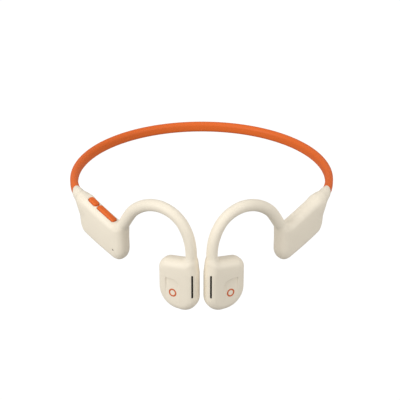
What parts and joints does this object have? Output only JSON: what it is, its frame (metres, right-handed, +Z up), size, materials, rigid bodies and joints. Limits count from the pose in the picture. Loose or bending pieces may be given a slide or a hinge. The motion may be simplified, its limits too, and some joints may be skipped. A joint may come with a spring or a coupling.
{
  "type": "bone conduction headphones",
  "caption": "Open-ear wireless headphones: a neck band joins two ear hooks, each with a housing behind the ear and a pod that rests on the cheekbone.",
  "frame": {"origin": "centre of the neck band's arc, in the plane of the band, where the wearer's neck and the base of the head go", "axes": "+Z up, +Y to the back of the head, +X to the wearer's left; the arms run forward along -Y"},
  "size_m": [0.1402, 0.1473, 0.0549],
  "materials": {
    "silicone": "satin",
    "shell": "satin",
    "skin": "satin",
    "spring_steel": "satin",
    "cable_jacket": "matt",
    "black_plastic": "matt",
    "copper": "satin",
    "gold_plate": "polished",
    "board": "gloss",
    "magnet_nickel": "polished",
    "cell_foil": "satin",
    "foam": "matt",
    "ceramic": "satin",
    "light_pipe": "clear",
    "inlay": "gloss",
    "mesh": "matt"
  },
  "bodies": {
    "band": {"band_sleeve_center": "silicone", "band_wire_center": "spring_steel", "band_cable_center": "cable_jacket"},
    "left_arm": {"band_sleeve_left": "silicone", "band_wire_left": "spring_steel", "band_cable_left": "cable_jacket", "left_housing_cover": "shell", "left_housing_lid": "shell", "left_wire_ferrule": "copper", "left_collar": "shell", "left_ear_hook": "skin", "left_hook_wire": "spring_steel", "left_hook_cable": "cable_jacket", "left_pod_cover": "shell", "left_pod_lid": "shell", "left_contact_pad": "skin", "left_pod_inlay": "inlay", "left_slot_mesh": "mesh", "left_microphone": "gold_plate", "left_yoke": "spring_steel", "left_magnet": "magnet_nickel", "left_voice_coil": "copper", "left_spring_plate": "spring_steel", "battery": "cell_foil", "battery_foam": "foam", "battery_board": "board"},
    "right_arm": {"band_sleeve_right": "silicone", "band_wire_right": "spring_steel", "band_cable_right": "cable_jacket", "right_housing_cover": "shell", "right_housing_lid": "shell", "right_wire_ferrule": "copper", "right_collar": "shell", "right_ear_hook": "skin", "right_hook_wire": "spring_steel", "right_hook_cable": "cable_jacket", "right_pod_cover": "shell", "right_pod_lid": "shell", "right_contact_pad": "skin", "right_pod_inlay": "inlay", "right_slot_mesh": "mesh", "right_microphone": "gold_plate", "right_yoke": "spring_steel", "right_magnet": "magnet_nickel", "right_voice_coil": "copper", "right_spring_plate": "spring_steel", "button_seal": "foam", "button_board": "board", "tact_switches": "spring_steel", "circuit_board": "board", "shield_can": "spring_steel", "antenna": "ceramic", "status_light_pipe": "light_pipe", "charge_plate": "black_plastic", "charge_contacts": "gold_plate", "charge_magnets": "magnet_nickel"},
    "power_button": {"power_button": "silicone"},
    "volume_rocker": {"volume_rocker": "silicone"}
  },
  "joints": [
    {"name": "left_flex", "type": "hinge", "parent": "band", "child": "left_arm", "pos_m": [0.04506, 0.0537, 0], "axis": [0, 0, 1], "range_deg": [0, 33], "stiffness_Nm_per_rad": 0.19},
    {"name": "right_flex", "type": "hinge", "parent": "band", "child": "right_arm", "pos_m": [-0.04506, 0.0537, 0], "axis": [0, 0, -1], "range_deg": [0, 33], "stiffness_Nm_per_rad": 0.19},
    {"name": "power_button_press", "type": "slide", "parent": "right_arm", "child": "power_button", "axis": [-0.2488, 0.2441, -0.9373], "range_m": [0, 0.00035]},
    {"name": "volume_rocker_rock", "type": "hinge", "parent": "right_arm", "child": "volume_rocker", "pos_m": [-0.04804, -0.04075, -0.00434], "axis": [-0.6748, -0.738, 0], "range_deg": [-2, 2]}
  ]
}
